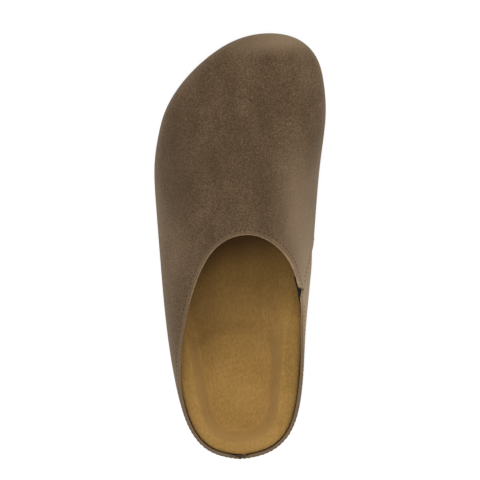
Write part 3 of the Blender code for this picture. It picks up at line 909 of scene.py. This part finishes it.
def cut_notch(shell, look):
    """Cut the wedge in front of the elastic through the inner side's collar."""
    side, corners = notch_corners()
    reach = NOTCH_DEPTH + UPPER_WALL
    wedge = [(end, s, h) for end in (side + reach, side - reach) for s, h in corners]
    sides = [(0, 1, 2), (3, 5, 4), (0, 3, 4, 1), (1, 4, 5, 2), (2, 5, 3, 0)]
    cutter = add_mesh("notch_cutter", wedge, sides, [look])
    cut = shell.modifiers.new("gore notch", "BOOLEAN")
    cut.operation = "DIFFERENCE"
    cut.solver = "EXACT"
    cut.material_mode = "TRANSFER"
    cut.object = cutter
    keep_as_mesh(shell)
    bpy.data.objects.remove(cutter, do_unlink=True)
    shell.data.set_sharp_from_angle(angle=math.radians(CREASE_ANGLE))


def paint_shell(shell, grid, seam):
    """Numbers for the suede's look: painted light and shade, nearness to the collar, and
    nearness to the seams for their painted shade.
    """
    points = mesh_points(shell)
    # Painted light and painted shade, with some of the nap's own uneven tone
    point_value(shell, "shade", patch_value(points, "shade"))
    point_value(shell, "edge", distance_to(grid[:, -1], points))
    point_value(shell, "rear", 1 - smooth(points[:, 1], *REAR_PART))
    # Nearness to the curved seam and to the heel seam, for the painted shade along them
    inner = (points[:, 0] < INNER_PART) & (points[:, 2] < seam[0, 1] + 0.0005)
    inner &= (points[:, 1] > seam[0, 0] - 0.0010) & (points[:, 1] < SEAM_PART[1])
    gap = np.where(inner, np.abs(behind_seam(points, seam) - 0.0002), 1.0)
    heel = distance_to(grid[0, 4:], points)
    point_value(shell, "seam", np.minimum(gap, heel))


def make_shell(looks):
    """The suede upper: outer face, rounded cut edge, lining and hidden margin."""
    rays = outline_rays(shell_spacing)
    walls = [wall_line(*ray) for ray in rays]
    tops = [crossing(COLLAR_LINE, *ray) for ray in rays]
    below = len(walls[0][1])
    grid = np.array([wall + vamp_line(edge, top) for (edge, wall), top in zip(walls, tops)])
    normals = grid_normals(grid)
    inner = grid - normals * UPPER_WALL

    seam = seam_line()
    raised = patch_value(grid.reshape(-1, 3), "lift").reshape(grid.shape[:2])
    raised *= smooth(np.arange(grid.shape[1]), below, below + 12)
    raised -= seam_relief(grid, seam)
    raised[:, :MARGIN_POINTS] = 0
    outer = grid + normals * raised[..., None]
    heel = heel_share(grid)
    outer[:, :, 1] += HEEL_GROOVE * heel
    brim = grid[:, -1:, 2]
    drop = HEEL_DIP * heel * smooth(grid[..., 2], brim - HEEL_DIP_REACH, brim)
    base = grid.copy()
    for face in (outer, inner, base):
        face[:, :, 2] -= drop

    loops = np.array([shell_loop(*lines) for lines in zip(outer, inner, normals, base)])
    rows, columns = loops.shape[:2]
    faces = grid_faces(rows, columns, close_columns=True)
    rim_start = grid.shape[1] + 1
    kinds = np.zeros(columns, dtype=int)
    kinds[rim_start:rim_start + 5] = 1
    kinds[rim_start + 5:] = 2
    shell = add_mesh("suede_shell", loops.reshape(-1, 3), faces, looks, np.tile(kinds, rows))
    cut_notch(shell, looks[1])
    paint_shell(shell, grid, seam)
    return shell, grid, outer


def inner_side(grid, station, height):
    """Point of the upper's outer face on the inner side, nearest a station and height."""
    far = np.hypot(grid[..., 1] - station, grid[..., 2] - height)
    far = np.where(grid[..., 0] < -0.015, far, 1e9)
    i, j = np.unravel_index(np.argmin(far), far.shape)
    return grid[i, j, 0], station, height


def shell_loop(outer, inner, normals, base):
    """One closed line round the wall: outer face, rim, lining, margin."""
    r, wall = CUT_EDGE_RADIUS, UPPER_WALL
    top, out = base[-1], normals[-1]
    along = base[-1] - base[-2]
    along -= out * np.dot(along, out)
    along /= np.linalg.norm(along)
    loop = list(outer[:-1])
    turns = [math.radians(turn) for turn in (0, 30, 60, 90)]
    for a in turns:
        loop.append(top + along * r * (math.sin(a) - 1) + out * r * (math.cos(a) - 1))
    for a in reversed(turns):
        loop.append(top + along * r * (math.sin(a) - 1) - out * (wall - r + r * math.cos(a)))
    rising = inner[4:-1]
    foot = at_height(rising, seat(base[2][1]) + CLEARANCE + wall)
    lining = [foot] + [p for p in rising if p[2] > foot[2] + 1e-5] + [loop[-1]]
    loop.extend(respaced(lining, INNER_STEPS)[::-1][1:])
    for j in (1, 0):
        loop.append(base[j] + (0, 0, wall))
    return loop


# The stitches

def stitch_tree(look):
    """Geometry Nodes: short threads along the lines of a wire mesh."""
    tree = bpy.data.node_groups.new("stitch row", "GeometryNodeTree")
    face = tree.interface
    face.new_socket("Geometry", in_out="INPUT", socket_type="NodeSocketGeometry")
    for name in ("Pitch", "Length", "Radius", "Sway"):
        face.new_socket(name, in_out="INPUT", socket_type="NodeSocketFloat")
    face.new_socket("Geometry", in_out="OUTPUT", socket_type="NodeSocketGeometry")

    def node(kind, values=None, **settings):
        return add_node(tree, kind, values, **settings)

    given = node("NodeGroupInput").outputs
    path = node("GeometryNodeMeshToCurve", {"Mesh": given["Geometry"]}).outputs["Curve"]
    spots = node("GeometryNodeCurveToPoints", {"Curve": path, "Length": given["Pitch"]},
                 mode="LENGTH").outputs
    ball = node("GeometryNodeMeshUVSphere", {"Segments": 6, "Rings": 4, "Radius": 1.0})
    half = node("ShaderNodeMath", {0: given["Length"], 1: 0.5}, operation="MULTIPLY")
    size = node("ShaderNodeCombineXYZ", {
        "X": half.outputs["Value"], "Y": given["Radius"], "Z": given["Radius"]})
    thread = node("GeometryNodeTransform", {
        "Geometry": ball.outputs["Mesh"], "Scale": size.outputs["Vector"]})
    along = node("FunctionNodeAlignRotationToVector", {"Vector": spots["Tangent"]}, axis="X")
    less = node("ShaderNodeMath", {0: given["Sway"], 1: -1.0}, operation="MULTIPLY")
    chance = node("FunctionNodeRandomValue", {
        "Min": less.outputs["Value"], "Max": given["Sway"], "Seed": STITCH_SEED},
        data_type="FLOAT")
    euler = node("ShaderNodeCombineXYZ", {"Z": chance.outputs["Value"]})
    twist = node("FunctionNodeEulerToRotation", {"Euler": euler.outputs["Vector"]})
    turned = node("FunctionNodeRotateRotation", {
        "Rotation": along.outputs["Rotation"], "Rotate By": twist.outputs["Rotation"]},
        rotation_space="LOCAL")
    sewn = node("GeometryNodeInstanceOnPoints", {
        "Points": spots["Points"], "Instance": thread.outputs["Geometry"],
        "Rotation": turned.outputs["Rotation"]})
    real = node("GeometryNodeRealizeInstances", {"Geometry": sewn.outputs["Instances"]})
    painted = node("GeometryNodeSetMaterial", {
        "Geometry": real.outputs["Geometry"], "Material": look})
    node("NodeGroupOutput", {"Geometry": painted.outputs["Geometry"]})
    return tree


def collar_rows(outer):
    """The row of stitches under the cut edge, broken at the notch."""
    row = []
    for line in outer:
        back = line[::-1]
        row.append([np.interp(STITCH_INSET, travelled(back), back[:, k]) for k in range(3)])
    row = np.array(row)
    gap = NOTCH_WIDTH / 2 + NOTCH_STITCH_GAP
    free = np.abs(row[:, 1] - NOTCH_PLACE * SHOE_LENGTH) > gap
    free |= row[:, 0] > 0
    free &= (row[:, 1] > HEEL_END) | (np.abs(row[:, 0] - HEEL_SEAM_SIDE) > HEEL_STITCH_GAP)
    rows = [[]]
    for point, clear in zip(row, free):
        if clear:
            rows[-1].append(point)
        elif rows[-1]:
            rows.append([])
    return [np.array(part) for part in rows if len(part) > 4]


def seam_row(outer):
    """The row of stitches in front of the curved seam."""
    line = seam_line()
    away = np.gradient(line, axis=0)[:, ::-1] * (-1, 1)
    spots = line + away / np.linalg.norm(away, axis=1, keepdims=True) * SEAM_STITCH_INSET
    upper_end, lower_end = SEAM_STITCH_ENDS
    shown = (spots[:, 0] > line[0, 0] + upper_end) & (line[:, 1] > SOLE_THICKNESS + lower_end)
    spots = spots[shown]
    found = np.array([inner_side(outer, *spot) for spot in spots])
    marks = np.linspace(-1, 1, len(found))
    found[:, 0] = np.polyval(np.polyfit(marks, found[:, 0], 7), marks)
    return found


def make_stitches(outer, look):
    """All visible threads, laid by one tree and kept as one mesh."""
    points = []
    edges = []
    for row in [*collar_rows(outer), seam_row(outer)]:
        start = len(points)
        points.extend(place(row).tolist())
        edges.extend((start + i, start + i + 1) for i in range(len(row) - 1))
    mesh = bpy.data.meshes.new("stitches")
    mesh.from_pydata(points, edges, [])
    thing = add_object("stitches", mesh)
    tree = stitch_tree(look)
    sewing = thing.modifiers.new("stitches", "NODES")
    sewing.node_group = tree
    wanted = {"Pitch": STITCH_PITCH, "Length": STITCH_LENGTH,
              "Radius": THREAD_RADIUS, "Sway": STITCH_SWAY}
    for item in tree.interface.items_tree:
        if item.in_out == "INPUT" and item.name in wanted:
            sewing[item.identifier] = wanted[item.name]
    keep_as_mesh(thing)
    thing.data.shade_smooth()
    return thing


# The elastic

def strip_normals(grid):
    """Unit directions out of the inner side, for a strip of lines that stays open."""
    normals = np.cross(np.gradient(grid, axis=0), np.gradient(grid, axis=1))
    normals /= np.linalg.norm(normals, axis=2, keepdims=True)
    return normals * -np.sign(normals[0, -1, 0])


def make_elastic(look):
    """The ribbed elastic patch behind the notch, just off the lining."""
    middle = NOTCH_PLACE * SHOE_LENGTH
    count = int(GORE_LENGTH / RIB_PITCH * RIB_STEPS)
    lines = []
    for i in range(-1, count + 2):
        station = middle + GORE_LENGTH * (i / count - 0.5)
        side = inner_collar(station)[0]
        edge, wall = wall_line(*ray_through(side, station))
        top = crossing(COLLAR_LINE, *ray_through(side, station))
        lines.append(wall + vamp_line(edge, top))
    grid = np.array(lines)
    normals = strip_normals(grid)
    near = UPPER_WALL + CLEARANCE
    sheets = []
    for depth in (near, near + GORE_THICKNESS):
        inner = grid - normals * depth
        sheet = []
        for line, outer in zip(inner[1:-1], grid[1:-1]):
            behind = middle - outer[-1][1]
            crest = outer[-1][2] - GORE_INSET - GORE_TAIL_DROP * smooth(behind, *GORE_TAIL)
            heights = [crest - GORE_DROP * j / (GORE_ROWS - 1) for j in range(GORE_ROWS)]
            sheet.append([at_height(line, height) for height in heights])
        sheets.append(np.array(sheet))
    outside, inside = sheets
    ribs = np.cos(np.arange(count + 1) * 2 * math.pi / RIB_STEPS)
    slim = GORE_TOP_SHARE + (1 - GORE_TOP_SHARE) * smooth(np.arange(GORE_ROWS), 0, 5)
    inside = outside + (inside - outside) * slim[None, :, None]
    between = (outside - inside) / GORE_THICKNESS
    sink = (0.5 - 0.5 * ribs)[:, None, None] * RIB_DEPTH
    outside = outside - between * sink
    inside = inside + between * sink
    loops = np.concatenate((outside, inside[:, ::-1]), axis=1)
    elastic = add_loft("gore_elastic", loops, look)
    points = mesh_points(elastic)
    turn = (points[:, 1] - middle + GORE_LENGTH / 2) / RIB_PITCH * 2 * math.pi
    # Where the ribs stand and their grooves lie, for the painted shade in the grooves
    point_value(elastic, "rib", 0.5 + 0.5 * np.cos(turn))
    return elastic


# The footbed

def footbed_section(side, station):
    """Heights of the rim and floor there, widths of crest and slope, and the inner share."""
    where = station / SHOE_LENGTH
    across = (side - spine_side(station)) / (BALL_WIDTH * 0.3)
    blend = 0.5 - 0.5 * math.sin(math.pi / 2 * min(max(across, -1.0), 1.0))

    def value(name):
        return column(FOOTBED, FOOTBED_COLUMNS, name, where)

    rim = value("lateral_rim") * (1 - blend) + value("medial_rim") * blend
    crest = value("lateral_crest") * (1 - blend) + value("medial_crest") * blend
    slope = CUP_SLOPE + (ARCH_SLOPE - CUP_SLOPE) * value("arch") * blend
    return rim, value("floor"), crest * RIM_WIDTH, slope


def slope_share(depth, crest, slope):
    """0 on the rim and 1 on the floor; the cover softens both ends of the slope."""
    return unit((depth - crest + COVER_SPREAD) / (slope + 2 * COVER_SPREAD))


def footbed_height(side, station, depth):
    """Top of the footbed over the sole, at a depth in from its edge."""
    rim, floor, crest, slope = footbed_section(side, station)
    share = slope_share(depth, crest, slope)
    fall = share * share * (3 - 2 * share)
    edge = max(1 - depth / RIM_ROUNDING_WIDTH, 0.0)
    return FOOTBED_HEIGHT * (rim + (floor - rim) * fall) - RIM_ROUNDING * edge ** 2


def over_margin(station):
    """Height at which the footbed's side starts, on top of the upper's margin."""
    return seat(station) + UPPER_WALL + 3 * CLEARANCE


def footbed_levels(grid):
    """Rings of the footbed's side along the lining, from the margin up to its edge."""
    inner = grid - grid_normals(grid) * (UPPER_WALL + 2 * CLEARANCE)
    levels = []
    for line in inner:
        rising = line[4:]
        foot = at_height(rising, over_margin(line[6][1]))
        top = seat(foot[1]) + footbed_height(foot[0], foot[1], 0.0)
        levels.append([at_height(rising, foot[2] + (top - foot[2]) * share)
                       for share in np.linspace(0, 1, RIM_STEPS + 1)])
    return np.array(levels)


def footbed_rays():
    """Rays from the footbed's middle line: to both sides, round the toe and the heel."""
    near = HEEL_CENTRE * SHOE_LENGTH
    far = TOE_CENTRE * SHOE_LENGTH
    stations = np.linspace(near, far, FOOTBED_FANS)
    lateral = [ray_through(BALL_WIDTH, s, TOE_CENTRE) for s in stations]
    medial = [ray_through(-BALL_WIDTH, s, TOE_CENTRE) for s in stations[::-1]]
    fans = outline_rays(lambda side, station: FOOTBED_SPACING, TOE_CENTRE)
    fans = [ray for ray in fans if abs(ray[1][1]) > 1e-6]
    toe = [ray for ray in fans if ray[0][1] >= far - 1e-9]
    heel = [ray for ray in fans if ray[0][1] <= near + 1e-9]
    heel.sort(key=lambda ray: math.atan2(ray[1][0], -ray[1][1]))
    return lateral + toe + medial + heel


def rim_depth(rim, side, station):
    """How far a point of the plan lies in from the footbed's edge."""
    return np.min(np.hypot(rim[:, 0] - side, rim[:, 1] - station))


def footbed_line(ray, margin, levels, rim):
    """The footbed on one ray: out along its underside, up its side and back on top."""
    start, heading = ray
    outer = crossing(margin, start, heading)[:2]
    inward = start - outer
    lip = outer + inward / np.linalg.norm(inward) * 2 * CLEARANCE
    line = []
    for i in range(4):
        side, station = start + (lip - start) * i / 3
        line.append((side, station, seat(station) + CLEARANCE))
    line.append((lip[0], lip[1], over_margin(lip[1])))
    line.extend(tuple(crossing(level, start, heading)) for level in np.moveaxis(levels, 1, 0))
    edge = np.array(line[-1][:2])
    for share in (np.arange(1, CROWN_STEPS + 1) / CROWN_STEPS) ** 1.15:
        side, station = edge + (start - edge) * share
        height = footbed_height(side, station, rim_depth(rim, side, station))
        line.append((side, station, seat(station) + height))
    return line


def footbed_shade(side, station, depth):
    """Painted light and painted shade of the cover at a point, and the darkness of the painted
    shadow line at its edge.
    """
    _, _, crest, slope = footbed_section(side, station)
    inside = smooth(depth, crest, crest + slope)
    # Painted shade in a soft arc across the front rise of the heel cup
    arc = math.exp(-((station - ARC_STATION + 16 * side ** 2) / ARC_WIDTH) ** 2) * inside
    # Paler on the rim at the very heel
    pale_heel_rim = 0.10 * (1 - smooth(station, 0.004, 0.022)) * (1 - inside)
    # Painted light on the slope of the heel cup, softening the shading of its own shape there
    share = slope_share(depth, crest, slope)
    relief = (4 * share * (1 - share)) * (0.27 + 0.34 * (1 - smooth(station, 0.01, 0.03)))
    relief *= 1 - 0.5 * smooth(station, 0.085, 0.105)
    # Painted shade towards the vamp, bent back along the inner side
    turned = station + 0.4 * min(side, 0.0) + 12 * side ** 2 * inside
    vamp_shade = np.interp(turned, VAMP_SHADE_STATIONS, VAMP_SHADE_SHARES)
    # Painted shadow: a dark line along the footbed's edge where it meets the lining, fading
    # towards the front
    reach = 1 - smooth(station, 0.085, 0.110)
    reach *= 0.55 + 0.45 * smooth(station, 0.01, 0.03)
    edge = 0.4 * reach * (1 - smooth(depth, 0.0003, 0.0010))
    return pale_heel_rim + relief - vamp_shade - 0.06 * arc, edge


def make_footbed(look, grid):
    """The contoured footbed: its side follows the lining, its top is closely ringed."""
    levels = footbed_levels(grid)
    rim = levels[:, -1, :2]
    ahead = np.roll(rim, -1, axis=0)
    rim = np.concatenate([rim + (ahead - rim) * i / 3 for i in range(3)])
    lines = np.array([footbed_line(ray, grid[:, 0], levels, rim) for ray in footbed_rays()])
    rows, columns = lines.shape[:2]
    footbed = add_mesh("footbed_suede", lines.reshape(-1, 3), grid_faces(rows, columns), [look])
    points = mesh_points(footbed)
    # Painted light and painted shade of the cover, and the painted shadow line at its edge
    marks = np.array([footbed_shade(side, station, rim_depth(rim, side, station))
                      for side, station, _ in points])
    patches = patch_value(points, "shade", FOOTBED_PATCHES)
    point_value(footbed, "shade", marks[:, 0] + patches)
    point_value(footbed, "edge", marks[:, 1])
    return footbed


# The sole

# One groove between two lugs: distance and depth, as shares of the sizes named
LUG_BACK = ((1.0, 0.0), (0.62, 0.10), (0.30, 0.34), (0.08, 0.72), (0.0, 1.0))
LUG_FRONT = ((0.15, 0.93), (0.90, 0.06), (1.0, 0.0), (1.4, 0.0))


def lug_profile(first, last):
    """Stations and groove depths along the sole's underside, heel to toe."""
    rows = [(first, 0.0)]
    notch = first + HEEL_LUG
    while notch < last - LUG_PITCH / 2:
        rows += [(notch - LUG_CORNER * back, LUG_DEPTH * depth) for back, depth in LUG_BACK]
        rows += [(notch + LUG_SLOPE * ahead, LUG_DEPTH * depth) for ahead, depth in LUG_FRONT]
        notch += LUG_PITCH
    rows.append((last, 0.0))
    return rows


def sole_stations(lugs):
    """Where the sole has its sections: at each row of the lugs, and closely at its ends."""
    stations = [station for station, _ in lugs[1:-1]]
    for step in range(16):
        inset = 0.00008 * (step + 0.5) ** 2
        for station in (lugs[0][0] + inset, lugs[-1][0] - inset):
            if min(abs(station - other) for other in stations) > 0.0002:
                stations.append(station)
    return sorted(stations)


def sole_section(station, lateral, medial, under, over):
    """Closed section across the sole, with its lower and upper edges rounded."""
    r = min(SOLE_EDGE_RADIUS, (lateral - medial) / 4)
    lip = r * 0.25
    half = []
    for turn in (90, 67, 45, 22, 0):
        a = math.radians(turn)
        half.append((r * (1 - math.cos(a)), under + r * (1 - math.sin(a))))
    for share in (0.33, 0.66):
        half.append((0.0, under + r + (over - under - r - lip) * share))
    for turn in (0, 45, 90):
        a = math.radians(turn)
        half.append((lip * (1 - math.cos(a)), over - lip * (1 - math.sin(a))))
    section = [(lateral - inset, station, height) for inset, height in half]
    return section + [(medial + inset, station, height) for inset, height in reversed(half)]


def make_sole(look):
    """The lugged sole: fine sections across it, lofted from heel to toe."""
    out = np.array([outline_normal(point) for point in OUTLINE])
    loop = OUTLINE[:, :2] - out * OUTLINE[:, 3:4]
    heel = loop[np.argmin(loop[:, 1])]
    toe = loop[np.argmax(loop[:, 1])]
    lugs = lug_profile(heel[1], toe[1])
    sections = []
    for station in sole_stations(lugs):
        groove = np.interp(station, [row[0] for row in lugs], [row[1] for row in lugs])
        middle = np.interp(station, (heel[1], toe[1]), (heel[0], toe[0]))
        start = np.array((middle, station))
        lateral = crossing(loop, start, np.array((1.0, 0.0)))[0]
        medial = crossing(loop, start, np.array((-1.0, 0.0)))[0]
        under = spring(station) + groove
        sections.append(sole_section(station, lateral, medial, under, seat(station)))
    return add_loft("lugged_sole", np.array(sections), look, SOLE_CREASE_ANGLE)


# The studio

def make_floor():
    look = Look("pale floor", 0.9, Specular_IOR_Level=0.1, Emission_Strength=FLOOR_GLOW,
                Emission_Color=(1.0, 1.0, 1.0, 1.0))
    mottle = look.noise(0.3, 2.0)
    colour = look.mix(mottle, (0.36, 0.36, 0.36), (0.38, 0.38, 0.38))
    mesh = bpy.data.meshes.new("floor")
    corners = [(x * FLOOR_REACH, y * FLOOR_REACH, 0)
               for x, y in ((-1, -1), (1, -1), (1, 1), (-1, 1))]
    mesh.from_pydata(corners, [], [(0, 1, 2, 3)])
    mesh.materials.append(look.finish(colour))
    add_object("floor", mesh)


def add_lamp(name, spot, aim, size, power):
    """Square lamp at a spot, turned towards its aim."""
    data = bpy.data.lights.new(name, "AREA")
    data.size = size
    data.energy = power
    lamp = add_object(name, data)
    lamp.location = spot
    x, y, z = np.array(aim) - np.array(spot)
    lamp.rotation_euler = (math.atan2(math.hypot(x, y), -z), 0.0, math.atan2(x, -y))


def make_studio():
    """Overhead camera with the toe at the top of the picture, and soft light."""
    scene = bpy.context.scene
    make_floor()
    data = bpy.data.cameras.new("overhead")
    data.lens = CAMERA_LENS
    data.sensor_width = 36
    data.clip_end = 20
    camera = add_object("overhead", data)
    camera.location = CAMERA_PLACE
    camera.rotation_euler = (0, 0, math.pi)
    scene.camera = camera
    world = bpy.data.worlds.new("studio")
    world.use_nodes = True
    backdrop = world.node_tree.nodes["Background"]
    backdrop.inputs["Color"].default_value = (1.0, 1.0, 1.0, 1.0)
    backdrop.inputs["Strength"].default_value = SKY_STRENGTH
    scene.world = world
    scene.view_settings.view_transform = "Standard"
    for lamp in LAMPS:
        add_lamp(*lamp)


def finish_piece(piece, node):
    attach(piece, "root")
    if node:
        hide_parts(node)


def main():
    suede = suede_look()
    edge = cut_edge_look()
    lining = lining_look()
    shell, grid, outer = make_shell([suede, edge, lining])
    footbed = make_footbed(footbed_look(), grid)
    stitches = make_stitches(outer, thread_look())
    elastic = make_elastic(elastic_look())
    sole = make_sole(sole_look())
    finish_piece(shell, "upper")
    finish_piece(footbed, "footbed")
    finish_piece(stitches, None)
    finish_piece(elastic, "gore")
    finish_piece(sole, "outsole")
    make_studio()


main()
